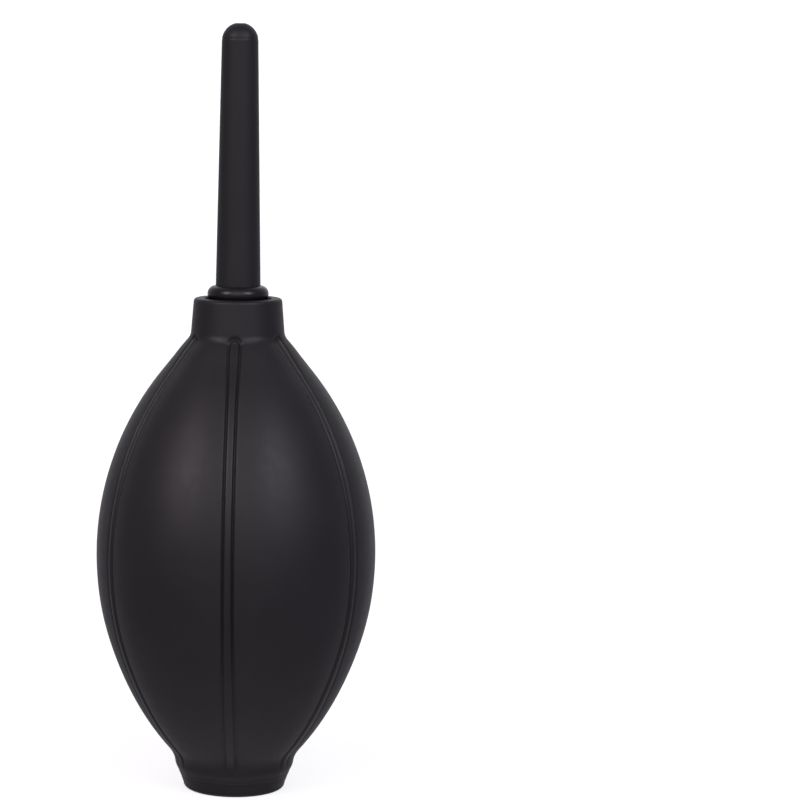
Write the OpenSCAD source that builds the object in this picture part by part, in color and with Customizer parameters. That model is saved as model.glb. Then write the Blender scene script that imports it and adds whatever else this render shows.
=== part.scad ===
// Rubber dust blower: a six-ribbed squeeze bulb with a one-way air inlet in its foot,
// a one-way outlet cartridge in its neck and a soft nozzle that bends and turns.
// It stands on its foot at Z = 0, its axis is Z, and one rib faces -Y. Millimetres.

/* [Bulb] */
// Largest diameter of the bulb
bulb_d = 56.5; // [55.5:0.1:57.5]
// Height of the largest diameter above the table
waist_z = 48.2; // [47.7:0.1:48.7]
// Radius of the arc that the bulb's side follows below its largest diameter
lower_r = 61.3; // [60.8:0.1:62]
// Radius of the arc that it follows above its largest diameter
upper_r = 59.6; // [59:0.1:60.2]
// Height at which the upper arc runs out into a straight cone
cone_z = 85.5; // [84.5:0.1:86.5]
// Thickness of the rubber wall
wall_t = 2.2; // [1.8:0.1:2.6]
// Width of a moulded rib
rib_w = 1.4; // [1:0.1:1.8]
// Height of a rib above the wall
rib_h = 0.35; // [0.2:0.05:0.5]

/* [Squeeze walls] */
// Widest place of the wall that a thumb or finger presses in
press_w = 23; // [18:0.5:24]
// Height of that wall, from point to point
press_h = 68; // [56:1:70]
// Gap between that wall and the rest of the bulb
press_gap = 0.06; // [0.04:0.01:0.1]

/* [Neck] */
// Height of the neck's rim above the table
neck_top_z = 100.1; // [99.9:0.1:100.4]
// Diameter of the neck at its rim
neck_top_d = 17.7; // [17.4:0.1:18]
// Diameter of the neck where it leaves the bulb
neck_root_d = 19.2; // [18.8:0.1:19.6]
// Rounding of the neck's outer rim
neck_round = 0.8; // [0.5:0.1:1]
// Diameter of the recessed mouth around the nozzle's bead
mouth_d = 13.5; // [13.2:0.1:14]
// Depth of that mouth
mouth_depth = 1.5; // [1.2:0.1:1.8]

/* [Foot] */
// Diameter of the rubber band above the foot
band_d = 24.5; // [24:0.1:25]
// Height of the joint between the rubber and the foot ring
foot_joint_z = 2.9; // [2.7:0.1:3.1]
// Diameter of the rubber and of the foot ring at that joint
foot_joint_d = 22.2; // [21.8:0.1:22.6]
// Diameter of the flat that the blower stands on
foot_flat_d = 18.7; // [18.5:0.1:19.8]
// Diameter of the inlet plug in the rubber
plug_d = 15; // [14.6:0.1:15.4]

/* [Nozzle] */
// Height of the nozzle's tip above the table
tip_z = 154.9; // [153:0.1:157]
// Diameter of the nozzle at its bead
nozzle_root_d = 9.05; // [8.8:0.05:9.2]
// Diameter of the nozzle's round tip
nozzle_tip_d = 7.3; // [7:0.02:7.6]
// Outside diameter of the rolled bead at the nozzle's foot
bead_d = 12.3; // [12:0.1:12.6]
// Height of the middle of the bead
bead_z = 101; // [100.8:0.1:101.2]
// Diameter of the air passage
bore_d = 3; // [2.4:0.1:3.4]
// Diameter of the opening in the tip
orifice_d = 2; // [1.6:0.1:2.4]
// Height of the first place where the nozzle bends
first_bend_z = 104; // [103.6:0.1:104.4]
// Distance between bending places
bend_pitch = 4.8; // [4.6:0.1:4.9]

/* [Valves] */
// Diameter of the outlet cartridge
cartridge_d = 12; // [11.6:0.1:12.2]
// Travel of both valve discs off their seats
disc_lift = 1.2; // [0.8:0.1:1.3]
// Thickness of both valve discs
disc_t = 1; // [0.8:0.1:1]
// Running clearance on the radius of a piece that turns or slides in another
run_gap = 0.05; // [0.03:0.01:0.08]

/* [Hidden] */
$fn = 96;
rib_count = 6;
bend_count = 10;
cone_slope = asin((cone_z - waist_z) / upper_r);
band_r = band_d / 2;
rubber_z = foot_joint_z;
cavity_floor_z = 9;
cavity_roof_z = 90;
neck_bore_r = cartridge_d / 2 + run_gap;
press_arc_r = (pow(press_h / 2, 2) + pow(press_w / 2, 2)) / press_w;
bead_r = (bead_d - nozzle_root_d) / 2;
dome_r = nozzle_tip_d / 2;
dome_z = tip_z - dome_r;
ball_ratio = 1.22;                   // radius of a bending place's ball over the nozzle's
ball_gap = 0.06;
stem_d = 8.4;                        // the nozzle's stem in the cartridge
stem_foot_z = 93.2;
cartridge_foot_z = 86.5;
cartridge_top_z = 99;
cartridge_floor_z = 93;              // floor of the socket that takes the stem
outlet_seat_z = 88;
outlet_roof_z = 91.4;
inlet_seat_z = 5.5;
inlet_top_z = 10.2;
cage_z = 8.3;
pocket_r = 6;                        // pocket for the filter under the inlet seat
rest_gap = 0.02;                     // under a valve disc at rest

// Radius of the nozzle's outside at height z, a straight taper
function nozzle_r(z) = nozzle_root_d / 2
    + (nozzle_tip_d - nozzle_root_d) / 2 * (z - bead_z) / (dome_z - bead_z);
// Height of bending place k, counted from 1
function bend_z(k) = first_bend_z + (k - 1) * bend_pitch;
// Radius of the ball that bending place k turns on
function ball_r(k) = ball_ratio * nozzle_r(bend_z(k));
// Height at which that ball meets the nozzle's outside
function rim_z(k) = bend_z(k) + sqrt(pow(ball_r(k), 2) - pow(nozzle_r(bend_z(k)), 2));

// Half section inside an arc of arc_r that is upright at the waist, between two heights
module arc_section(arc_r, grow, low_z, high_z) {
    intersection() {
        translate([bulb_d / 2 - arc_r, waist_z]) circle(r = arc_r + grow, $fn = 360);
        translate([0, low_z]) square([bulb_d, high_z - low_z]);
    }
}

// Half section of the bulb's side between two heights, grown outwards by grow:
// two arcs that meet at the waist, and a cone that goes on straight from the upper one
module side_section(grow, low_z, high_z) {
    turn_z = waist_z + (upper_r + grow) * sin(cone_slope);
    turn_r = bulb_d / 2 - upper_r + (upper_r + grow) * cos(cone_slope);
    rise = high_z - turn_z;
    arc_section(lower_r, grow, low_z, waist_z);
    arc_section(upper_r, grow, waist_z, turn_z);
    polygon([[0, turn_z], [turn_r, turn_z], [turn_r - rise * tan(cone_slope), high_z], [0, high_z]]);
}

// Half section of the neck: a tapered collar with a rounded rim
module neck_section() {
    low_z = cavity_roof_z + 0.5;
    corner_r = neck_top_d / 2 - neck_round;
    corner_z = neck_top_z - neck_round;
    polygon([[0, low_z], [neck_root_d / 2 + 0.1, low_z], [neck_top_d / 2, corner_z],
        [corner_r, neck_top_z], [0, neck_top_z]]);
    translate([corner_r, corner_z]) circle(r = neck_round);
}

// Half section of the rubber band above the foot, bevelled down to the foot joint
module band_section() {
    polygon([[0, rubber_z], [foot_joint_d / 2, rubber_z], [band_r - 0.8, rubber_z + 1],
        [band_r, rubber_z + 2.4], [band_r, rubber_z + 4], [0, rubber_z + 4]]);
}

// Six upright plates through the axis, as wide as a rib
module rib_plates() {
    for (i = [0 : rib_count / 2 - 1])
        rotate([0, 0, i * 360 / rib_count])
            translate([-rib_w / 2, -bulb_d, rubber_z + 1])
                cube([rib_w, 2 * bulb_d, cavity_roof_z + 2 - rubber_z]);
}

// Pointed oval prism along +X, inside which a squeeze wall moves
module press_prism(inset) {
    rotate([90, 0, 90]) translate([0, 0, bulb_d / 8]) linear_extrude(bulb_d / 2)
        intersection_for (side = [-1, 1])
            translate([side * (press_arc_r - press_w / 2), waist_z])
                circle(r = press_arc_r - inset, $fn = 180);
}

// One rubber moulding: bulb, neck collar, foot band and ribs
module bulb_shell() {
    color([0.14, 0.13, 0.14]) difference() {
        union() {
            rotate_extrude() {
                side_section(0, rubber_z + 3, cavity_roof_z + 3);
                neck_section();
                band_section();
            }
            intersection() {
                rotate_extrude() side_section(rib_h, rubber_z + 3, cavity_roof_z + 3);
                rib_plates();
            }
        }
        rotate_extrude() side_section(-wall_t, cavity_floor_z, cavity_roof_z);
        translate([0, 0, cavity_roof_z - 1])
            cylinder(r = neck_bore_r, h = neck_top_z - cavity_roof_z + 2);
        translate([0, 0, neck_top_z - mouth_depth]) cylinder(d = mouth_d, h = mouth_depth + 1);
        translate([0, 0, rubber_z - 1]) cylinder(d = plug_d, h = cavity_floor_z - rubber_z + 2);
        press_prism(0);
        mirror([1, 0, 0]) press_prism(0);
    }
}

// The part of the bulb's wall at +X that a thumb presses in
module squeeze_wall() {
    color([0.17, 0.16, 0.17]) intersection() {
        rotate_extrude() difference() {
            side_section(0, cavity_floor_z + 1, cavity_roof_z - 1);
            side_section(-wall_t, cavity_floor_z, cavity_roof_z);
        }
        press_prism(press_gap);
    }
}

module squeeze_wall_right() squeeze_wall();

module squeeze_wall_left() mirror([1, 0, 0]) squeeze_wall();

// A ring of count small round holes or posts, for air or to hold a disc off its cage
module ring_of(count, ring_r, hole_r, low_z, high_z) {
    for (i = [0 : count - 1])
        rotate([0, 0, i * 360 / count])
            translate([ring_r, 0, low_z]) cylinder(r = hole_r, h = high_z - low_z, $fn = 32);
}

// Foot ring and inlet plug in one, with the seat for the inlet disc
module inlet_valve_body() {
    edge = 1;
    flat_r = foot_flat_d / 2;
    joint_r = foot_joint_d / 2 - 0.05;
    color([0.11, 0.11, 0.12]) difference() {
        union() {
            rotate_extrude() {
                polygon([[0, 0], [flat_r, 0], [flat_r + edge, edge], [joint_r, foot_joint_z],
                    [0, foot_joint_z]]);
                translate([flat_r, edge]) circle(r = edge);
            }
            cylinder(d = plug_d, h = inlet_top_z);
            translate([0, 0, cavity_floor_z + 0.05]) rotate_extrude()
                polygon([[0, 0], [plug_d / 2, 0], [plug_d / 2 + 0.4, 0.5], [plug_d / 2, 1.1], [0, 1.1]]);
        }
        translate([0, 0, -1]) cylinder(r = pocket_r, h = inlet_seat_z - 0.5);
        translate([0, 0, inlet_seat_z]) cylinder(r = pocket_r - 0.4, h = inlet_top_z);
        ring_of(6, 2.7, 0.8, 0, inlet_seat_z + 1);
    }
}

// Floating rubber disc that lets air into the bulb and not out
module inlet_disc() {
    color([0.55, 0.2, 0.16]) translate([0, 0, inlet_seat_z + rest_gap])
        cylinder(r = 4.6, h = disc_t - rest_gap);
}

// Snap-in cage over the inlet disc: a pierced plate with three posts under it
module inlet_cage() {
    stop_z = inlet_seat_z + disc_t + disc_lift + rest_gap;
    color([0.75, 0.75, 0.72]) {
        difference() {
            translate([0, 0, cage_z]) cylinder(r = pocket_r - 0.4, h = 1.1);
            translate([0, 0, cage_z - 1]) cylinder(r = 1.2, h = 4);
            rotate([0, 0, 30]) ring_of(6, 3.5, 1.1, cage_z - 1, cage_z + 3);
        }
        ring_of(3, 3.6, 0.5, stop_z, cage_z + 0.2);
    }
}

// Felt dust filter in the pocket under the inlet seat
module filter_disc() {
    color([0.82, 0.81, 0.76]) translate([0, 0, 1.8])
        cylinder(r = pocket_r - 0.05, h = inlet_seat_z - 1.5 - 1.8);
}

// Grille that holds the filter: one hole in the middle, six round it and twelve outside
module filter_grille() {
    grille_z = 0.6;
    color([0.15, 0.15, 0.16]) difference() {
        translate([0, 0, grille_z]) cylinder(r = pocket_r, h = 1.2);
        for (ring = [0 : 2])
            ring_of(max(1, 6 * ring), 2.1 * ring, 0.55, grille_z - 1, grille_z + 3);
    }
}

// Outlet cartridge: a socket for the nozzle's stem above a chamber for the outlet disc
module outlet_valve_body() {
    chamber_r = 4.7;
    stop_z = outlet_seat_z + disc_t + disc_lift + rest_gap;
    lead = 0.6;
    color([0.2, 0.2, 0.21]) {
        difference() {
            translate([0, 0, cartridge_foot_z]) union() {
                cylinder(r1 = cartridge_d / 2 - lead / 2, r2 = cartridge_d / 2, h = lead);
                translate([0, 0, lead])
                    cylinder(d = cartridge_d, h = cartridge_top_z - cartridge_foot_z - lead);
            }
            translate([0, 0, cartridge_floor_z]) cylinder(r = stem_d / 2 + run_gap, h = 10);
            translate([0, 0, outlet_seat_z]) cylinder(d = bore_d + 0.6, h = 10);
            translate([0, 0, outlet_seat_z - 1])
                cylinder(r = chamber_r, h = outlet_roof_z - outlet_seat_z + 1);
            translate([0, 0, cartridge_foot_z - 1])
                cylinder(r = chamber_r + 0.4, h = outlet_seat_z - cartridge_foot_z + 1);
        }
        for (i = [0 : 3])
            rotate([0, 0, 45 + i * 90]) translate([bore_d / 2 + 0.6, -0.4, stop_z])
                cube([chamber_r - bore_d / 2 - 0.4, 0.8, outlet_roof_z - stop_z + 0.2]);
    }
}

// Pierced seat pressed into the bottom of the cartridge
module outlet_seat() {
    color([0.75, 0.75, 0.72]) difference() {
        translate([0, 0, cartridge_foot_z]) cylinder(r = 5.1, h = outlet_seat_z - cartridge_foot_z);
        ring_of(6, 2.4, 0.8, cartridge_foot_z - 1, outlet_seat_z + 1);
    }
}

// Floating rubber disc that lets air out to the nozzle and not back
module outlet_disc() {
    color([0.55, 0.2, 0.16]) translate([0, 0, outlet_seat_z + rest_gap])
        cylinder(r = 3.9, h = disc_t - rest_gap);
}

// Solid taper of the nozzle between two heights
module taper(low_z, high_z) {
    translate([0, 0, low_z])
        cylinder(r1 = nozzle_r(low_z), r2 = nozzle_r(high_z), h = high_z - low_z);
}

// Ball of bending place k, grown by grow
module bend_ball(k, grow) {
    translate([0, 0, bend_z(k)]) sphere(r = ball_r(k) + grow);
}

// Nozzle taper from low_z up to the ball of bending place k, which rounds its upper end
module ball_ended_taper(low_z, k) {
    intersection() {
        taper(low_z, bend_z(k) + ball_r(k));
        union() {
            bend_ball(k, 0);
            translate([0, 0, low_z]) cylinder(d = bead_d, h = rim_z(k) - low_z);
        }
    }
}

// Air passage between two heights
module passage(low_z, high_z) {
    translate([0, 0, low_z]) cylinder(d = bore_d, h = high_z - low_z);
}

// Foot of the nozzle: the stem in the cartridge, the rolled bead and the first short length
module nozzle_root() {
    color([0.1, 0.1, 0.1]) difference() {
        union() {
            translate([0, 0, stem_foot_z]) cylinder(d = stem_d, h = bead_z - stem_foot_z);
            rotate_extrude() translate([nozzle_root_d / 2, bead_z]) circle(r = bead_r);
            ball_ended_taper(bead_z - 1, 1);
        }
        passage(stem_foot_z - 1, first_bend_z + 10);
    }
}

// One short length of the soft nozzle, between bending places k and k + 1
module nozzle_length(k) {
    color([0.11 + 0.03 * (k % 2), 0.11, 0.12]) difference() {
        ball_ended_taper(bend_z(k), k + 1);
        bend_ball(k, ball_gap);
        passage(bend_z(k) - 1, bend_z(k + 1) + 10);
    }
}

// Round tip of the nozzle with its air opening
module nozzle_tip() {
    color([0.12, 0.12, 0.12]) difference() {
        union() {
            taper(bend_z(bend_count), dome_z);
            translate([0, 0, dome_z]) sphere(r = dome_r);
        }
        bend_ball(bend_count, ball_gap);
        passage(bend_z(bend_count), dome_z);
        translate([0, 0, dome_z - 1]) cylinder(d = orifice_d, h = dome_r + 2);
    }
}

bulb_shell();
squeeze_wall_left();
squeeze_wall_right();
inlet_valve_body();
inlet_disc();
inlet_cage();
filter_disc();
filter_grille();
outlet_valve_body();
outlet_seat();
outlet_disc();
nozzle_root();
for (k = [1 : bend_count - 1])
    nozzle_length(k);
nozzle_tip();
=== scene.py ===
"""Looks of a rubber dust blower: its bulb, nozzle, foot and valves, and the studio it stands in.

Every length in the dataclasses is in millimetres and every angle in degrees. Meshes are made in
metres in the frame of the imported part: the foot stands on Z = 0, the axis is Z and a rib faces -Y.
"""

import logging
import math
import sys
from dataclasses import dataclass, field
from enum import Enum

import bpy
import numpy as np
from mathutils import Matrix, Vector

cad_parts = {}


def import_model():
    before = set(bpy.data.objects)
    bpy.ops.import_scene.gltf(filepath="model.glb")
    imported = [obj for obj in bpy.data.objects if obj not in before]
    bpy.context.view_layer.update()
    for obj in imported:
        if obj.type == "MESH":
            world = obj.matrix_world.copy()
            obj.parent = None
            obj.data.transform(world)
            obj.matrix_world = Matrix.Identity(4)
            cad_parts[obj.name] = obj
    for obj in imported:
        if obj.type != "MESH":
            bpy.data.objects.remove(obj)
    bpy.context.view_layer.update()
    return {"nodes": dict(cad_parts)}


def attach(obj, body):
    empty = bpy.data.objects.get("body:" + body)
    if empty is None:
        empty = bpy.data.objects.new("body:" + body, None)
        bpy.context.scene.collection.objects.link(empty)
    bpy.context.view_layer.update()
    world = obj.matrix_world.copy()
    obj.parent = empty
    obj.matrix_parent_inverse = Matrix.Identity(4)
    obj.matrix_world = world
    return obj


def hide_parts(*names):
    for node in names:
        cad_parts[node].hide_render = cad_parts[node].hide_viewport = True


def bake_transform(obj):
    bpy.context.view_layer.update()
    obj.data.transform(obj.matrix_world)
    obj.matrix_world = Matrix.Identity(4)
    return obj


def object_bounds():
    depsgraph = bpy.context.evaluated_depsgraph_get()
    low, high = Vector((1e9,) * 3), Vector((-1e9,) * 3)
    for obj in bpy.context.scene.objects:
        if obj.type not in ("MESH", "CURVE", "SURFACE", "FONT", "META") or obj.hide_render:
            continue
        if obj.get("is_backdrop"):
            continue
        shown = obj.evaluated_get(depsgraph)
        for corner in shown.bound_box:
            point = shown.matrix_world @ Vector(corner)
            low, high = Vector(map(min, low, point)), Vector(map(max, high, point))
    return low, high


log = logging.getLogger("dust_blower")

MM = 0.001
RIBS = 6
BENDS = 10
FIRST_BEND = 104.0
BEND_PITCH = 4.8
PATTERN_LOW = 0.3
PATTERN_HIGH = 0.7
BUMP_STRENGTH = 0.5


class Slot(Enum):
    """The record's material slots for the bulb's and the nozzle's rubber; nothing here reads them."""

    BULB = "bulb_rubber"
    NOZZLE = "nozzle_rubber"


class Side(Enum):
    """The two halves of the bulb's skin: the squeezed wall whose frame part each replaces, and its turn about
    the axis.
    """

    RIGHT = ("wall_right", 0.0)
    LEFT = ("wall_left", 180.0)


# ---------------------------------------------------------------- colours and nodes


def linear(code: str) -> tuple[float, float, float, float]:
    """Turns an sRGB hex colour into the linear RGBA that a shader socket takes.

    Args:
        code: six hex digits, such as "2b292b".

    Returns:
        Red, green and blue from 0 to 1 on the linear scale, and 1.
    """
    steps = [int(code[i : i + 2], 16) / 255 for i in (0, 2, 4)]
    red, green, blue = (s / 12.92 if s <= 0.04045 else ((s + 0.055) / 1.055) ** 2.4 for s in steps)
    return red, green, blue, 1.0


def add_node(
    tree: bpy.types.NodeTree,
    kind: str,
    settings: dict[str, object] | None = None,
    inputs: dict[str | int, object] | None = None,
) -> bpy.types.Node:
    """Adds one node with its settings, socket values and links.

    Args:
        tree: the node tree.
        kind: the node's type name.
        settings: properties of the node itself.
        inputs: socket name or number to a value, or to the output socket that feeds it.

    Returns:
        The new node.
    """
    node = tree.nodes.new(kind)
    for name, value in (settings or {}).items():
        setattr(node, name, value)
    for name, value in (inputs or {}).items():
        if isinstance(value, bpy.types.NodeSocket):
            tree.links.new(value, node.inputs[name])
        else:
            node.inputs[name].default_value = value
    return node


def blank_material(name: str) -> tuple[bpy.types.Material, bpy.types.NodeTree]:
    """Makes a node material with no nodes in it.

    Args:
        name: the finish and how it was made.

    Returns:
        The material and its empty node tree.
    """
    material = bpy.data.materials.new(name)
    material.use_nodes = True
    material.node_tree.nodes.clear()
    return material, material.node_tree


def noise(
    tree: bpy.types.NodeTree, size: float, detail: float = 2.0, stretch: float = 1.0
) -> bpy.types.NodeSocket:
    """Adds an even noise on object coordinates.

    Args:
        tree: the node tree.
        size: distance between its patches, in millimetres.
        detail: how many finer layers it has.
        stretch: how many times longer than wide the patches are, along Z.

    Returns:
        The noise's grey output, from 0 to 1.
    """
    place = add_node(tree, "ShaderNodeTexCoord").outputs["Object"]
    scale = 1 / (size * MM)
    turned = add_node(
        tree, "ShaderNodeMapping", inputs={"Vector": place, "Scale": (scale, scale, scale / stretch)}
    )
    return add_node(
        tree,
        "ShaderNodeTexNoise",
        inputs={"Vector": turned.outputs[0], "Scale": 1.0, "Detail": detail, "Roughness": 0.55},
    ).outputs[0]


def spread(
    tree: bpy.types.NodeTree, source: bpy.types.NodeSocket, low: float, high: float
) -> bpy.types.NodeSocket:
    """Maps the middle of a grey pattern onto a range of values.

    Args:
        tree: the node tree.
        source: a pattern that is mostly between PATTERN_LOW and PATTERN_HIGH.
        low: value at PATTERN_LOW and below.
        high: value at PATTERN_HIGH and above.

    Returns:
        The mapped value.
    """
    return add_node(
        tree,
        "ShaderNodeMapRange",
        inputs={
            "Value": source,
            "From Min": PATTERN_LOW,
            "From Max": PATTERN_HIGH,
            "To Min": low,
            "To Max": high,
        },
    ).outputs[0]


def mix_colours(
    tree: bpy.types.NodeTree, amount: bpy.types.NodeSocket, first: str, second: str
) -> bpy.types.NodeSocket:
    """Mixes two sRGB hex colours by a pattern.

    Args:
        tree: the node tree.
        amount: 0 for the first colour and 1 for the second.
        first: hex colour.
        second: hex colour.

    Returns:
        The mixed colour.
    """
    return add_node(
        tree, "ShaderNodeMix", {"data_type": "RGBA"}, {0: amount, 6: linear(first), 7: linear(second)}
    ).outputs[2]


# ---------------------------------------------------------------- finishes


@dataclass(frozen=True)
class MouldedRubber:
    """Moulded rubber, black, with the fine grain of a blasted mould.

    To the eye it is a deep near-black with a broad soft sheen, faintly mottled where the compound
    flowed, a little smoother where hands and the mould's parting edge have polished it.
    """

    name: str = "rubber_black_moulded"
    tone: str = "232123"
    flow: str = "282528"
    roughness: float = 0.45
    unevenness: float = 0.03
    ior: float = 1.52
    polish: float = 0.08
    grain: float = 0.35  # the real grain is near 0.08, drawn coarser so that it shows
    grain_depth: float = 0.012
    mottle: float = 9.0

    def build(self) -> bpy.types.Material:
        """Makes the material: mottled colour, roughness that falls where polished, and grain."""
        material, tree = blank_material(self.name)
        patches = noise(tree, self.mottle, 3.0)
        colour = mix_colours(tree, spread(tree, patches, 0.0, 1.0), self.tone, self.flow)
        worn = add_node(tree, "ShaderNodeAttribute", {"attribute_name": "worn"}).outputs["Fac"]
        smooth, dull = self.roughness - self.unevenness, self.roughness + self.unevenness
        rough = spread(tree, noise(tree, self.mottle / 6), smooth, dull)
        rough = add_node(
            tree, "ShaderNodeMath", {"operation": "MULTIPLY_ADD"}, {0: worn, 1: -self.polish, 2: rough}
        ).outputs[0]
        grain = add_node(
            tree,
            "ShaderNodeBump",
            inputs={
                "Strength": BUMP_STRENGTH,
                "Distance": self.grain_depth * MM,
                "Height": noise(tree, self.grain),
            },
        )
        shader = add_node(
            tree,
            "ShaderNodeBsdfPrincipled",
            inputs={
                "Base Color": colour,
                "Roughness": rough,
                "IOR": self.ior,
                "Normal": grain.outputs[0],
            },
        )
        add_node(tree, "ShaderNodeOutputMaterial", inputs={"Surface": shader.outputs[0]})
        return material


@dataclass(frozen=True)
class MouldedPlastic:
    """Injection-moulded plastic with a fine spark-eroded texture and faint flow clouds.

    To the eye it is even and satin, a little smoother and sharper-edged than rubber.
    """

    name: str
    tone: str
    flow: str
    roughness: float
    ior: float
    texture: float = 0.3
    texture_depth: float = 0.008
    cloud: float = 4.0
    unevenness: float = 0.04
    subsurface: float = 0.0
    subsurface_depth: float = 0.5

    def build(self) -> bpy.types.Material:
        """Makes the material: clouded colour, slightly uneven roughness and eroded texture."""
        material, tree = blank_material(self.name)
        clouds = spread(tree, noise(tree, self.cloud, 3.0), 0.0, 1.0)
        colour = mix_colours(tree, clouds, self.tone, self.flow)
        smooth, dull = self.roughness - self.unevenness, self.roughness + self.unevenness
        rough = spread(tree, noise(tree, self.cloud / 4), smooth, dull)
        bump = add_node(
            tree,
            "ShaderNodeBump",
            inputs={
                "Strength": BUMP_STRENGTH,
                "Distance": self.texture_depth * MM,
                "Height": noise(tree, self.texture),
            },
        )
        shader = add_node(
            tree,
            "ShaderNodeBsdfPrincipled",
            inputs={
                "Base Color": colour,
                "Roughness": rough,
                "IOR": self.ior,
                "Subsurface Weight": self.subsurface,
                "Subsurface Scale": self.subsurface_depth * MM,
                "Normal": bump.outputs[0],
            },
        )
        add_node(tree, "ShaderNodeOutputMaterial", inputs={"Surface": shader.outputs[0]})
        return material


@dataclass(frozen=True)
class NeedledFelt:
    """Needle-punched polyester felt, off-white.

    To the eye it is soft and unshiny, a tangle of fine fibres with grey dust caught in it.
    """

    name: str = "polyester_felt_needled"
    clean: str = "d9d6cb"
    dusty: str = "a9a69c"
    fibre: float = 0.25  # a real fibre is 0.02 thick, drawn in bundles
    fibre_depth: float = 0.12
    fibre_strength: float = 0.8
    dust_range: tuple[float, float] = (0.12, 0.4)
    roughness: float = 0.95
    sheen: float = 0.3

    def build(self) -> bpy.types.Material:
        """Makes the material: dusty mottling, fibre bumps from two crossed stretched noises, sheen."""
        material, tree = blank_material(self.name)
        strands = noise(tree, self.fibre, 4.0, stretch=0.3)
        patches = noise(tree, self.fibre * 8, 3.0)
        both = add_node(tree, "ShaderNodeMath", {"operation": "MULTIPLY"}, {0: strands, 1: patches})
        dusty, clean = self.dust_range
        amount = add_node(
            tree,
            "ShaderNodeMapRange",
            inputs={"Value": both.outputs[0], "From Min": dusty, "From Max": clean},
        ).outputs[0]
        colour = mix_colours(tree, amount, self.dusty, self.clean)
        bump = add_node(
            tree,
            "ShaderNodeBump",
            inputs={
                "Strength": self.fibre_strength,
                "Distance": self.fibre_depth * MM,
                "Height": strands,
            },
        )
        shader = add_node(
            tree,
            "ShaderNodeBsdfPrincipled",
            inputs={
                "Base Color": colour,
                "Roughness": self.roughness,
                "Sheen Weight": self.sheen,
                "Normal": bump.outputs[0],
            },
        )
        add_node(tree, "ShaderNodeOutputMaterial", inputs={"Surface": shader.outputs[0]})
        return material


# ---------------------------------------------------------------- shapes as arrays


def rounded_path(corners: np.ndarray, radii: np.ndarray, steps: int = 10) -> np.ndarray:
    """Rounds the inner corners of a path with circular arcs.

    Each arc starts and ends a tangent length, radius x tan(half the turn), before and after its
    corner P, at S and E. Its points are the rational quadratic with weight w = cos(half the turn):
    ((1 - s)^2 S + 2 s (1 - s) w P + s^2 E) / ((1 - s)^2 + 2 s (1 - s) w + s^2), an exact circle.

    Args:
        corners: the path's corners, one row each.
        radii: rounding radius at each corner; the ends are not rounded.
        steps: points along each arc.

    Returns:
        The rounded path, without repeated points.
    """
    middle = corners[1:-1]
    back = corners[:-2] - middle
    ahead = corners[2:] - middle
    back /= np.linalg.norm(back, axis=1, keepdims=True)
    ahead /= np.linalg.norm(ahead, axis=1, keepdims=True)
    half_turn = (np.pi - np.arccos(np.clip((back * ahead).sum(1), -1, 1))) / 2
    tangent = (radii[1:-1] * np.tan(half_turn))[:, None]
    start, end = middle + back * tangent, middle + ahead * tangent
    s = np.linspace(0, 1, steps)[None, :, None]
    w = np.cos(half_turn)[:, None, None]
    a, b, c = (1 - s) ** 2, 2 * s * (1 - s) * w, s**2
    arcs = (a * start[:, None] + b * middle[:, None] + c * end[:, None]) / (a + b + c)
    path = np.concatenate([corners[:1], arcs.reshape(-1, 2), corners[-1:]])
    kept = np.concatenate([[True], np.linalg.norm(np.diff(path, axis=0), axis=1) > 1e-5])
    return path[kept]


def path_length(path: np.ndarray) -> np.ndarray:
    """Distance along a path from its start to each of its points."""
    return np.concatenate([[0.0], np.cumsum(np.linalg.norm(np.diff(path, axis=0), axis=1))])


def soft_max(first: np.ndarray, second: np.ndarray, width: float) -> np.ndarray:
    """The larger of two heights, with a parabola of the given width where they meet.

    With h = 1/2 + (first - second) / (2 width), held from 0 to 1, it is
    h first + (1 - h) second + width h (1 - h).
    """
    h = np.clip(0.5 + 0.5 * (first - second) / width, 0, 1)
    return h * first + (1 - h) * second + width * h * (1 - h)


def smooth_step(value: np.ndarray, start: float, end: float) -> np.ndarray:
    """Rises smoothly from 0 at start to 1 at end: 3 s^2 - 2 s^3, s the share of the way."""
    share = np.clip((value - start) / (end - start), 0, 1)
    return share**2 * (3 - 2 * share)


def revolve(section: np.ndarray, columns: int) -> tuple[np.ndarray, np.ndarray]:
    """Turns a closed half section about Z into a closed ring.

    Point (i, j) is (r_i sin a_j, -r_i cos a_j, z_i) with a_j = 2 pi j / columns, and both i and j
    wrap round. A section that runs down its outside and up its inside faces outwards.

    Args:
        section: radius and height of each point, in millimetres.
        columns: how many steps there are round the axis.

    Returns:
        The points in metres, and the quads.
    """
    turn = 2 * np.pi * np.arange(columns) / columns
    radius, height = section[:, :1], section[:, 1:]
    level = np.broadcast_to(height, (len(section), columns))
    points = np.stack([radius * np.sin(turn), -radius * np.cos(turn), level], axis=-1)
    row, column = np.meshgrid(np.arange(len(section)), np.arange(columns), indexing="ij")
    below, beside = (row + 1) % len(section), (column + 1) % columns
    quads = np.stack(
        [row * columns + column, below * columns + column, below * columns + beside, row * columns + beside],
        axis=-1,
    )
    return points.reshape(-1, 3) * MM, quads.reshape(-1, 4)


def make_piece(
    name: str,
    points: np.ndarray,
    faces: list[list[int]],
    material: bpy.types.Material,
    sharp_over: float = 35.0,
) -> bpy.types.Object:
    """Makes a smooth-shaded mesh object at the origin.

    Args:
        name: the piece's name.
        points: vertices in metres.
        faces: vertex numbers of each face, outwards by the right-hand rule.
        material: its finish.
        sharp_over: edges that turn by more than this many degrees stay sharp.

    Returns:
        The object, linked to the scene.
    """
    mesh = bpy.data.meshes.new(name)
    mesh.from_pydata(points.tolist(), [], faces)
    mesh.update()
    mesh.shade_smooth()
    mesh.set_sharp_from_angle(angle=math.radians(sharp_over))
    mesh.materials.append(material)
    piece = bpy.data.objects.new(name, mesh)
    bpy.context.scene.collection.objects.link(piece)
    return piece


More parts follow.
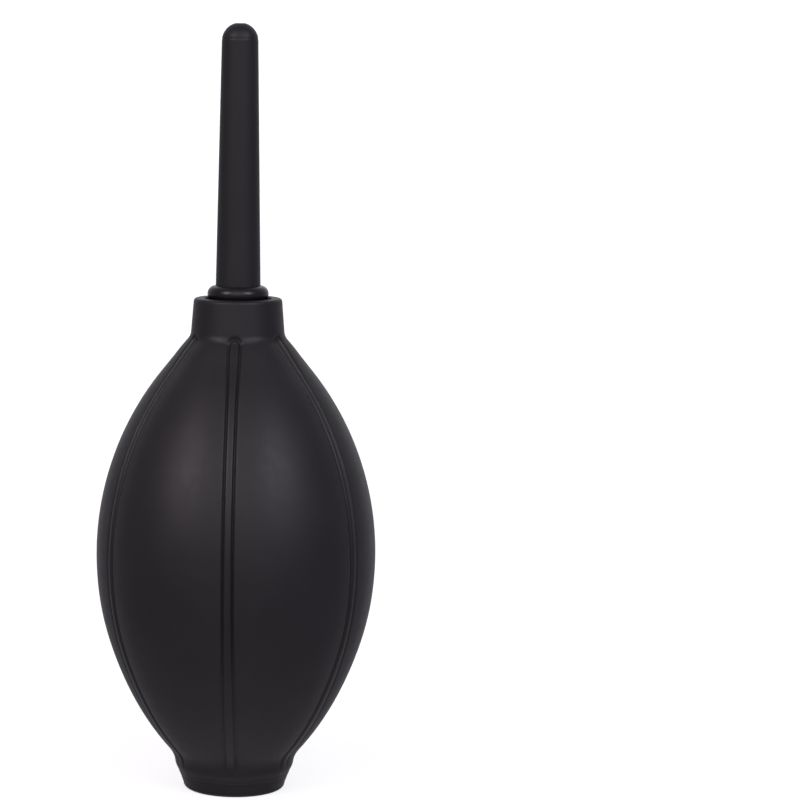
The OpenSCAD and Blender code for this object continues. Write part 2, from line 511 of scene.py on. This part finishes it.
def set_attribute(piece: bpy.types.Object, name: str, values: np.ndarray) -> None:
    """Writes one number per vertex of a piece, for its material to read."""
    layer = piece.data.attributes.new(name, "FLOAT", "POINT")
    layer.data.foreach_set("value", values.astype(np.float32).ravel())


# ---------------------------------------------------------------- the bulb


@dataclass
class BulbMoulding:
    """The bulb's one-piece rubber skin, in a right and a left half."""

    girth: float = 28.25
    waist: float = 48.2
    lower_radius: float = 61.3
    upper_radius: float = 59.6
    cone_height: float = 85.5
    hollow: tuple[float, float, float] = (24.0, 9.0, -0.17)  # middle, half and swell of the flank
    wall: float = 2.2
    neck_top: float = 100.1
    neck_top_radius: float = 8.85
    neck_root: float = 91.8
    neck_root_radius: float = 9.52
    rim_round: float = 0.65
    rim_foot: float = 98.0
    rim_rows: int = 20
    neck_fillet: float = 0.5
    neck_reach: float = 60.0  # the neck's line counts above this height
    shoulder: tuple[float, float, float] = (90.4, 1.8, 0.1)  # middle, half and swell
    mouth_radius: float = 6.75
    mouth_floor: float = 98.6
    mouth_rounds: tuple[float, float] = (0.12, 0.3)
    bore_radius: float = 6.1
    bore_foot: float = 95.0
    band_radius: float = 12.25
    band_top: float = 6.9
    band_slope: float = 0.12
    band_round: float = 0.3
    band_fillet: float = 1.2
    band_reach: float = 30.0  # the band's line counts below this height
    bevel_height: float = 3.9
    bevel_radius: float = 11.45
    bevel_slopes: tuple[float, float] = (0.35, 0.57)
    bevel_round: float = 0.08
    joint_height: float = 2.9
    joint_radius: float = 11.08
    joint_round: float = 0.16
    joint_lip: float = 0.3
    plug_radius: float = 7.55
    plug_top: float = 5.2
    cavity: tuple[float, float] = (9.0, 90.0)
    rib_half: float = 0.85
    rib_rise: float = 0.2
    groove_at: float = 0.98
    groove_half: float = 0.26
    groove_depth: float = 0.38
    groove_low: float = 0.16
    groove_fade: tuple[float, float] = (14.0, 46.0)  # heights of the shallow and the full groove
    widening: float = 0.22
    widened: tuple[tuple[float, float], ...] = ((40.0, 18.0), (82.0, 90.0))  # heights: narrow, wide
    valley_depth: float = 0.35
    valley_half: float = 3.5
    valley_end: float = 0.9
    rib_top: float = 91.7
    rib_fade: tuple[float, float] = (4.2, 7.8)
    blend_from: float = 9.6
    blend_to: float = 28.2
    offsets: tuple[float, ...] = (
        *(0, 0.15, 0.3, 0.45, 0.58, 0.7, 0.8, 0.88, 0.98),  # from the rib's line to its groove
        *(1.08, 1.2, 1.35, 1.5, 1.75, 2.1),  # and on to the gore
    )
    least_reach: float = 8.7
    gore_steps: int = 15
    rows: int = 250
    path_steps: int = 1600
    close_heights: tuple[float, ...] = (99.3, 92.6, 91.8, 91.0, 7.3, 5.4)  # rim, neck root, band
    row_gaps: tuple[float, float] = (0.1, 0.9)
    gap_growth: float = 0.16
    finish: MouldedRubber = field(default_factory=MouldedRubber)

    def neck_line(self, height: np.ndarray) -> np.ndarray:
        """Radius of the neck's tapered side at a height."""
        slope = (self.neck_top_radius - self.neck_root_radius) / (self.neck_top - self.neck_root)
        return self.neck_root_radius + slope * (height - self.neck_root)

    def side_line(self, height: np.ndarray, inset: float = 0.0) -> np.ndarray:
        """Radius of the bulb's side: two arcs that meet at the waist, the upper running out in a cone.

        The shoulder under the neck swells and the flank above the foot draws in, each by
        swell exp(-((height - middle) / half)^2).

        Args:
            height: heights in millimetres.
            inset: how far inside the skin the line lies, along its normal.

        Returns:
            The radii.
        """
        whole = np.where(height < self.waist, self.lower_radius, self.upper_radius)
        reach = whole - inset
        slope = math.asin((self.cone_height - self.waist) / self.upper_radius)
        turn = self.waist + (self.upper_radius - inset) * math.sin(slope)
        drop = np.clip(height, self.waist - reach, turn) - self.waist
        cone = math.tan(slope) * np.maximum(height - turn, 0)
        line = np.sqrt(reach**2 - drop**2) - (whole - self.girth) - cone
        for middle, half, swell in (self.shoulder, self.hollow):
            line += swell * np.exp(-(((height - middle) / half) ** 2))
        return line

    def outer_radius(self, height: np.ndarray) -> np.ndarray:
        """Radius of the outside below the rim: neck, side and foot band, each eased into the next."""
        above = height - self.bevel_height
        lines = [self.bevel_radius + slope * above for slope in self.bevel_slopes]
        bevel = soft_max(*lines, self.bevel_round)
        face = -self.band_radius - self.band_slope * (height - self.band_top)
        band = np.where(height < self.band_reach, -soft_max(-bevel, face, self.band_round), 0)
        neck = np.where(height > self.neck_reach, self.neck_line(height), 0)
        body = soft_max(self.side_line(height), band, self.band_fillet)
        return soft_max(body, neck, self.neck_fillet)

    def outer_path(self) -> np.ndarray:
        """The outside's half section, from the mouth's floor over the rim down to the foot joint."""
        top, split = self.neck_top, self.rim_foot
        rim = rounded_path(
            np.array(
                [
                    [self.bore_radius, self.mouth_floor],
                    [self.mouth_radius, self.mouth_floor],
                    [self.mouth_radius, top],
                    [self.neck_top_radius, top],
                    [float(self.neck_line(np.array(split))), split],
                ]
            ),
            np.array([0, *self.mouth_rounds, self.rim_round, 0]),
        )
        heights = np.linspace(split, self.joint_height + self.joint_lip, self.path_steps)[1:]
        side = np.stack([self.outer_radius(heights), heights], axis=1)
        foot = rounded_path(
            np.array(
                [
                    side[-1],
                    [self.joint_radius, self.joint_height],
                    [self.plug_radius, self.joint_height],
                ]
            ),
            np.array([0, self.joint_round, 0]),
        )
        return np.concatenate([rim, side, foot[1:]])

    def outer_rows(self) -> tuple[np.ndarray, np.ndarray]:
        """Picks the rows along the outside, close together near each edge and rib end.

        Returns:
            The rows' radius and height, and how far each is along the path.
        """
        path = self.outer_path()
        along = path_length(path)
        edges = np.array([self.neck_top, *self.close_heights, self.bevel_height, self.joint_height])
        near = np.abs(path[:, 1:] - edges[None, :]).min(axis=1)
        spacing = np.clip(self.row_gaps[0] + self.gap_growth * near, *self.row_gaps)
        weight = np.concatenate([[0.0], np.cumsum(np.diff(along) / (0.5 * (spacing[1:] + spacing[:-1])))])
        wanted = np.interp(np.linspace(0, weight[-1], self.rows), weight, along)
        rows = np.stack([np.interp(wanted, along, path[:, k]) for k in (0, 1)], axis=1)
        return rows, wanted

    def inner_rows(self, outer: np.ndarray, along: np.ndarray) -> np.ndarray:
        """The cavity's row behind each outer row: neck bore, cavity and plug bore.

        Args:
            outer: the outer rows.
            along: how far each outer row is along the path.

        Returns:
            Radius and height of each inner row; the first and last are the outer ones.
        """
        past_rim = np.arange(len(outer)) > self.rim_rows
        upper = along[np.argmax((outer[:, 1] < self.bore_foot) & past_rim)]
        lower = along[np.argmax((outer[:, 1] < self.plug_top) & past_rim)]
        bore = np.interp(along, [0, upper], [self.mouth_floor, self.bore_foot])
        plug = np.interp(along, [lower, along[-1]], [self.plug_top, self.joint_height])
        height = np.where(along < upper, bore, np.where(along > lower, plug, outer[:, 1]))
        floor, roof = self.cavity
        cavity = self.side_line(height, self.wall)
        radius = np.where(height > roof, self.bore_radius, np.where(height < floor, self.plug_radius, cavity))
        inner = np.stack([radius, height], axis=1)
        inner[0], inner[-1] = outer[0], outer[-1]
        return inner

    def columns(self) -> tuple[np.ndarray, np.ndarray]:
        """Columns of a half, each at an angle A + B / radius from the front rib.

        Near a rib A is the rib's angle and B the column's distance beside it, so the columns run
        along the rib; across a gore both change evenly from one rib to the next.

        Returns:
            A in radians and B in millimetres, in order round the half.
        """
        beside = np.array(self.offsets)
        gore = np.arange(1, self.gore_steps) / self.gore_steps
        angle, shift = [], []
        for rib in range(RIBS // 2):
            left = -beside[beside <= self.groove_at][::-1] if rib == 0 else -beside[::-1]
            own = np.concatenate([left[:-1], beside])
            angle += [np.full(len(own), rib), rib + gore]
            shift += [own, beside[-1] * (1 - 2 * gore)]
        last = -beside[beside >= self.groove_at][::-1]
        angle.append(np.full(len(last), RIBS // 2))
        shift.append(last)
        return np.concatenate(angle) * 2 * np.pi / RIBS, np.concatenate(shift)

    def relief(
        self, beside: np.ndarray, beyond: np.ndarray, height: np.ndarray
    ) -> tuple[np.ndarray, np.ndarray]:
        """Height of the ribs' relief on the bulb.

        With d the distance from the rib's line, round its upper end too, it is a half-round rod
        rise sqrt(1 - (d / half)^2), less a groove depth exp(-((d - at) / half)^2), less a shallow
        valley depth exp(-(d / width)^2) that makes the gores crown between the ribs. The rod widens
        towards both ends, and the groove fades towards the foot.

        Args:
            beside: distance beside the nearest rib's line.
            beyond: distance past the rib's upper end, or 0.
            height: height of each row.

        Returns:
            The relief in millimetres, and how much of each point is the rod's worn crest.
        """
        wide = 1 + self.widening * sum(smooth_step(height, *ends) for ends in self.widened)
        d = np.hypot(beside, beyond) / wide
        rod = np.sqrt(np.clip(1 - (d / self.rib_half) ** 2, 0, 1))
        growth = smooth_step(height, *self.groove_fade)
        deep = self.groove_low + (self.groove_depth - self.groove_low) * growth
        groove = np.exp(-(((d - self.groove_at) / self.groove_half) ** 2))
        valley = np.exp(-((beside / self.valley_half) ** 2)) * np.exp(-((beyond / self.valley_end) ** 2))
        relief = self.rib_rise * rod - deep * groove - self.valley_depth * valley
        return relief * smooth_step(height, *self.rib_fade), rod

    def half(self, side: Side, material: bpy.types.Material) -> bpy.types.Object:
        """Builds one half of the skin as a closed shell.

        Outer point (i, j) lies at radius r_i and angle A_j + B_j / r_i, moved along the section's
        normal by the relief; the inner point is on the cavity's row at the same angle. The rows
        wrap from the outside to the inside, and two strips of quads close the cut edges.

        Args:
            side: which half.
            material: its finish.

        Returns:
            The half skin.
        """
        outer, along = self.outer_rows()
        inner = self.inner_rows(outer, along)
        base, shift = self.columns()
        reach = np.maximum(outer[:, :1], self.least_reach)
        angle = base[None, :] + shift[None, :] / reach
        nearest = np.round(angle * RIBS / (2 * np.pi)) * 2 * np.pi / RIBS
        beyond = np.maximum(0, along[np.abs(outer[:, 1] - self.rib_top).argmin()] - along)[:, None]
        relief, crest = self.relief((angle - nearest) * reach, beyond, outer[:, 1:])
        slope = np.gradient(outer, axis=0)
        slope /= np.linalg.norm(slope, axis=1, keepdims=True)
        normal = np.stack([-slope[:, 1], slope[:, 0]], axis=1)
        radius = outer[:, :1] + relief * normal[:, :1]
        height = outer[:, 1:] + relief * normal[:, 1:]
        back = inner[-2:0:-1]
        size = (len(back), len(base))
        radius = np.concatenate([radius, np.broadcast_to(back[:, :1], size)])
        height = np.concatenate([height, np.broadcast_to(back[:, 1:], size)])
        angle = np.concatenate([angle, angle[-2:0:-1]]) + math.radians(side.value[1])
        worn = np.concatenate([crest, np.zeros(size)])
        points = np.stack([radius * np.sin(angle), -radius * np.cos(angle), height], axis=-1)
        faces = self.half_faces(len(outer), len(base))
        piece = make_piece(f"bulb_skin_{side.name.lower()}", points.reshape(-1, 3) * MM, faces, material)
        set_attribute(piece, "worn", worn)
        return piece

    @staticmethod
    def half_faces(rows: int, columns: int) -> list[list[int]]:
        """Faces of a half: a grid whose rows wrap round, and a strip that closes each cut edge.

        Args:
            rows: outer rows.
            columns: columns.

        Returns:
            Vertex numbers of each face.
        """
        ring = 2 * rows - 2
        row, column = np.meshgrid(np.arange(ring), np.arange(columns - 1), indexing="ij")
        here, below = row * columns + column, (row + 1) % ring * columns + column
        quads = np.stack([here, below, below + 1, here + 1], axis=-1).reshape(-1, 4)
        out = np.arange(rows)
        inn = (ring - out) % ring
        first = np.stack([out[:-1], inn[:-1], inn[1:], out[1:]], axis=1) * columns
        last = first[:, ::-1] + columns - 1
        strips = np.concatenate([first, last]).tolist()
        return quads.tolist() + [list(dict.fromkeys(face)) for face in strips]

    def build(self) -> list[bpy.types.Object]:
        """Builds both halves and hides the frame's bulb shell and squeezed walls in their place."""
        material = self.finish.build()
        pieces = []
        for side in Side:
            wall = side.value[0]
            piece = self.half(side, material)
            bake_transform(piece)
            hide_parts("bulb_shell", f"squeeze_{wall}")
            pieces.append(piece)
        return pieces


# ---------------------------------------------------------------- the nozzle


@dataclass
class NozzleMoulding:
    """The soft nozzle: a stem with a rolled bead, ten lengths each centred on a bending place, and a round
    tip.
    """

    root_radius: float = 4.525
    tip_radius: float = 3.65
    bead_height: float = 101.0
    dome_height: float = 151.25
    bead_round: float = 1.625
    bore: float = 1.5
    orifice: float = 1.0
    orifice_rise: float = 0.3
    stem_radius: float = 4.2
    stem_foot: float = 93.2
    stem_rounds: tuple[float, float] = (0.4, 0.2)
    seam_height: float = 151.7
    seam_half: float = 0.16
    seam_depth: float = 0.05
    columns: int = 96
    rows: int = 20
    bead_rows: int = 56
    stem_arc_rows: int = 6
    dome_rows: int = 40
    taper_rows: int = 60
    finish: MouldedRubber = field(
        default_factory=lambda: MouldedRubber(
            name="silicone_rubber_black_moulded", tone="232123", flow="272528", roughness=0.46, polish=0.0
        )
    )
    bead_finish: MouldedRubber = field(
        default_factory=lambda: MouldedRubber(
            name="silicone_rubber_black_rolled_bead",
            tone="201e21",
            flow="242225",
            roughness=0.24,
            polish=0.0,
            grain_depth=0.004,
        )
    )

    def side(self, height: np.ndarray) -> np.ndarray:
        """Radius of the nozzle's straight taper at a height."""
        share = (height - self.bead_height) / (self.dome_height - self.bead_height)
        return self.root_radius + (self.tip_radius - self.root_radius) * share

    @staticmethod
    def bend_height(number: int) -> float:
        """Height of a bending place, counted from 1."""
        return FIRST_BEND + (number - 1) * BEND_PITCH

    def root_section(self) -> np.ndarray:
        """Half section of the stem and bead: flat top, round bead, stem with an eased foot, bore."""
        top = self.bend_height(1) - BEND_PITCH / 2
        centre = np.array([self.root_radius, self.bead_height])
        rise = top - self.bead_height
        first = math.pi - math.asin(rise / self.bead_round)
        last = -math.pi / 2 - math.asin((self.root_radius - self.stem_radius) / self.bead_round)
        sweep = np.linspace(first, last, self.bead_rows)
        bead = centre + self.bead_round * np.stack([np.cos(sweep), np.sin(sweep)], axis=1)
        stem = rounded_path(
            np.array(
                [
                    bead[-1],
                    [self.stem_radius, self.stem_foot],
                    [self.bore, self.stem_foot],
                    [self.bore, top],
                ]
            ),
            np.array([0, *self.stem_rounds, 0]),
            self.stem_arc_rows,
        )
        return np.concatenate([bead, stem[1:]])

    def length_section(self, low: float, high: float) -> np.ndarray:
        """Half section of a plain length of tube between two heights."""
        down = np.linspace(high, low, self.rows)
        outside = np.stack([self.side(down), down], axis=1)
        inside = np.stack([np.full(self.rows, self.bore), down[::-1]], axis=1)
        return np.concatenate([outside, inside])

    def tip_section(self, low: float) -> np.ndarray:
        """Half section of the tip: orifice, dome, a fine seam ring and the end of the taper."""
        lift = math.acos(self.orifice / self.tip_radius)
        sweep = np.linspace(lift, 0, self.dome_rows)
        dome = self.tip_radius * np.stack([np.cos(sweep), np.sin(sweep)], axis=1) + [0, self.dome_height]
        down = np.linspace(self.dome_height, low, self.taper_rows)[1:]
        outside = np.concatenate([dome, np.stack([self.side(down), down], axis=1)])
        off_seam = (outside[:, 1] - self.seam_height) / self.seam_half
        outside[:, 0] -= self.seam_depth * np.exp(-(off_seam**2))
        inside = np.array(
            [
                [self.bore, low],
                [self.bore, self.dome_height],
                [self.orifice, self.dome_height + self.orifice_rise],
            ]
        )
        return np.concatenate([outside, inside])

    def piece(self, name: str, section: np.ndarray, material: bpy.types.Material) -> bpy.types.Object:
        """Turns a half section into a piece of the nozzle."""
        points, quads = revolve(section, self.columns)
        return make_piece(name, points, quads.tolist(), material)

    def build(self) -> list[bpy.types.Object]:
        """Builds the root, the ten lengths and the tip, and ties the root and the tip to their bodies."""
        matt, glossy = self.finish.build(), self.bead_finish.build()
        chain = ["nozzle_foot", *(f"nozzle_part_{k}" for k in range(1, BENDS)), "nozzle_end"]
        half = BEND_PITCH / 2
        root = self.piece("nozzle_root_skin", self.root_section(), glossy)
        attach(root, chain[0])
        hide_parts("nozzle_root")
        pieces = [root]
        for k in range(1, BENDS + 1):
            middle = self.bend_height(k)
            low, high = middle - half, middle + half
            skin = self.piece(f"nozzle_bend_skin_{k}", self.length_section(low, high), matt)
            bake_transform(skin)
            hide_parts(f"nozzle_length_{k}" if k < BENDS else "nozzle_tip")
            pieces.append(skin)
        tip = self.piece("nozzle_tip_skin", self.tip_section(self.bend_height(BENDS) + half), matt)
        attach(tip, chain[-1])
        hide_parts("nozzle_tip")
        pieces.append(tip)
        return pieces


# ---------------------------------------------------------------- foot and valves


@dataclass
class FootAndValves:
    """The plug, cartridge, discs, cage, seat, grille and felt, whose shapes the frame already has."""

    foot: MouldedPlastic = MouldedPlastic("abs_black_moulded_satin", "1c1a1d", "201e21", 0.45, 1.5)
    cartridge: MouldedPlastic = MouldedPlastic("acetal_black_moulded", "28282b", "2e2e31", 0.38, 1.48)
    valve: MouldedPlastic = MouldedPlastic(
        "acetal_natural_moulded", "e4e2d8", "d8d5c8", 0.35, 1.48, cloud=3.0, subsurface=0.15
    )
    disc: MouldedPlastic = MouldedPlastic(
        "silicone_sheet_brick_red_punched", "9c3626", "8a2d20", 0.55, 1.43, texture=0.2, cloud=2.5
    )
    felt: NeedledFelt = NeedledFelt()

    def dress(self, nodes: dict[str, bpy.types.Object]) -> list[str]:
        """Gives each frame node its finish.

        Args:
            nodes: the frame's nodes by name.

        Returns:
            The dressed nodes' names.
        """
        plan = {
            self.foot: ("inlet_valve_body", "filter_grille"),
            self.cartridge: ("outlet_valve_body",),
            self.valve: ("inlet_cage", "outlet_seat"),
            self.disc: ("inlet_disc", "outlet_disc"),
            self.felt: ("filter_disc",),
        }
        dressed = []
        for finish, names in plan.items():
            material = finish.build()
            for name in names:
                slots = nodes[name].data.materials
                slots.clear()
                slots.append(material)
                dressed.append(name)
        return dressed


# ---------------------------------------------------------------- studio


@dataclass(frozen=True)
class Glow:
    """A soft patch of light in the surroundings, brightest in one direction.

    Its radiance towards a unit vector d is strength exp(tightness (d . c - 1)), where c points to
    its middle; a tightness of 12 fades to half over 20 degrees and one of 60 over 9 degrees.
    """

    azimuth: float
    elevation: float
    tightness: float
    strength: float
    tint: str

    def add(self, tree: bpy.types.NodeTree, ray: bpy.types.NodeSocket) -> bpy.types.NodeSocket:
        """Adds the patch's colour towards a ray.

        Args:
            tree: the world's node tree.
            ray: the ray's direction.

        Returns:
            The colour's output socket.
        """
        a, e = math.radians(self.azimuth), math.radians(self.elevation)
        middle = (math.sin(a) * math.cos(e), -math.cos(a) * math.cos(e), math.sin(e))
        dot = add_node(tree, "ShaderNodeVectorMath", {"operation": "DOT_PRODUCT"}, {0: ray, 1: middle})
        power = add_node(
            tree,
            "ShaderNodeMath",
            {"operation": "MULTIPLY_ADD"},
            {0: dot.outputs["Value"], 1: self.tightness, 2: -self.tightness},
        )
        falloff = add_node(tree, "ShaderNodeMath", {"operation": "EXPONENT"}, {0: power.outputs[0]})
        colour = tuple(self.strength * part for part in linear(self.tint)[:3])
        return add_node(
            tree, "ShaderNodeVectorMath", {"operation": "SCALE"}, {0: colour, "Scale": falloff.outputs[0]}
        ).outputs["Vector"]


@dataclass
class Studio:
    """A pale sweep lit from below, surroundings of soft patches of light, and the camera."""

    camera_distance: float = 573.0
    camera_height: float = 148.0
    camera_azimuth: float = 3.4
    camera_pitch: float = -6.82
    camera_roll: float = 0.47
    lens: float = 128.9
    sensor: float = 36.0
    shift: float = 0.2035
    sweep_front: float = 3000.0
    sweep_back: float = 1500.0
    sweep_round: float = 900.0
    sweep_top: float = 3000.0
    sweep_side: float = 4000.0
    flat_rows: int = 40
    turn_rows: int = 24
    floor_tone: str = "e6e6e6"
    floor_roughness: float = 0.9
    floor_glow: float = 0.72
    lens_glow: float = 1.05
    glows: tuple[Glow, ...] = (
        Glow(-45, 30, 50, 5.0, "fff0f4"),  # softbox to the left
        Glow(45, 30, 50, 5.0, "f4f0ff"),  # softbox to the right
        Glow(0, 30, 12, 1.0, "ffffff"),  # ceiling in front
        Glow(0, -90, 4, 0.3, "fff6f0"),  # pale table below
        Glow(180, 15, 4, 0.6, "ffffff"),  # pale wall behind
    )
    ambient: tuple[float, float, float] = (0.16, 0.15, 0.18)

    def build_sweep(self) -> bpy.types.Object:
        """Makes the floor, which curves up behind: a profile of y and z carried along X."""
        turn = np.linspace(0, np.pi / 2, self.turn_rows)
        curve = np.stack(
            [self.sweep_back + self.sweep_round * np.sin(turn), self.sweep_round * (1 - np.cos(turn))], axis=1
        )
        level = np.linspace(-self.sweep_front, self.sweep_back, self.flat_rows)[:-1]
        flat = np.stack([level, np.zeros_like(level)], axis=1)
        profile = np.concatenate([flat, curve, [[self.sweep_back + self.sweep_round, self.sweep_top]]])
        across = np.array([-self.sweep_side, self.sweep_side])
        count = len(profile)
        points = np.stack(
            [np.repeat(across, count), np.tile(profile[:, 0], 2), np.tile(profile[:, 1], 2)], axis=1
        )
        step = np.arange(count - 1)
        quads = np.stack([step, step + count, step + count + 1, step + 1], axis=1)
        material, tree = blank_material("acrylic_opal_sheet")
        shader = add_node(
            tree,
            "ShaderNodeBsdfPrincipled",
            inputs={
                "Base Color": linear(self.floor_tone),
                "Roughness": self.floor_roughness,
                "Emission Color": linear("ffffff"),
                "Emission Strength": self.floor_glow,
            },
        )
        add_node(tree, "ShaderNodeOutputMaterial", inputs={"Surface": shader.outputs[0]})
        sweep = make_piece("floor_sweep", points * MM, quads.tolist(), material)
        sweep.visible_glossy = sweep.visible_diffuse = False
        sweep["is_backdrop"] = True
        return sweep

    def build_sky(self) -> None:
        """Makes the surroundings: an even tone and the soft patches, and white where the lens looks."""
        world = bpy.data.worlds.new("studio_surroundings")
        world.use_nodes = True
        tree = world.node_tree
        tree.nodes.clear()
        ray = add_node(tree, "ShaderNodeTexCoord").outputs["Generated"]
        total: bpy.types.NodeSocket | tuple[float, float, float] = self.ambient
        for glow in self.glows:
            total = add_node(
                tree, "ShaderNodeVectorMath", {"operation": "ADD"}, {0: total, 1: glow.add(tree, ray)}
            ).outputs["Vector"]
        surround = add_node(tree, "ShaderNodeBackground", inputs={"Color": total})
        seen = add_node(
            tree, "ShaderNodeBackground", inputs={"Color": linear("ffffff"), "Strength": self.lens_glow}
        )
        lens = add_node(tree, "ShaderNodeLightPath").outputs["Is Camera Ray"]
        both = add_node(
            tree, "ShaderNodeMixShader", inputs={0: lens, 1: surround.outputs[0], 2: seen.outputs[0]}
        )
        add_node(tree, "ShaderNodeOutputWorld", inputs={"Surface": both.outputs[0]})
        bpy.context.scene.world = world

    def build_camera(self) -> bpy.types.Object:
        """Places the camera beside the blower's axis, level but for its pitch and slight roll."""
        data = bpy.data.cameras.new("camera")
        data.lens, data.sensor_width, data.shift_x = self.lens, self.sensor, self.shift
        camera = bpy.data.objects.new("camera", data)
        a, p = math.radians(self.camera_azimuth), math.radians(self.camera_pitch)
        camera.location = (
            math.sin(a) * self.camera_distance * MM,
            -math.cos(a) * self.camera_distance * MM,
            self.camera_height * MM,
        )
        ahead = Vector((-math.sin(a) * math.cos(p), math.cos(a) * math.cos(p), math.sin(p)))
        level = ahead.to_track_quat("-Z", "Y").to_matrix()
        roll = Matrix.Rotation(math.radians(self.camera_roll), 3, "Z")
        camera.rotation_mode = "QUATERNION"
        camera.rotation_quaternion = (level @ roll).to_quaternion()
        bpy.context.scene.collection.objects.link(camera)
        bpy.context.scene.camera = camera
        return camera

    def build(self) -> list[str]:
        """Builds the surroundings, the sweep and the camera, and sets plain colour handling."""
        bpy.context.scene.view_settings.view_transform = "Standard"
        self.build_sky()
        made = [self.build_sweep(), self.build_camera()]
        return [item.name for item in made]


# ---------------------------------------------------------------- all together


def corners() -> list[list[float]]:
    """The shown object's lowest and highest corners as plain lists."""
    return [list(corner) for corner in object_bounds()]


def main() -> None:
    """Loads the frame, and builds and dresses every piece."""
    logging.basicConfig(level=logging.INFO, format="%(message)s", stream=sys.stdout)
    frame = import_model()
    for piece in BulbMoulding().build() + NozzleMoulding().build():
        log.info("%s: %d faces", piece.name, len(piece.data.polygons))
    log.info("dressed %s", ", ".join(FootAndValves().dress(frame["nodes"])))
    log.info("studio: %s", ", ".join(Studio().build()))


if __name__ == "__main__":
    main()
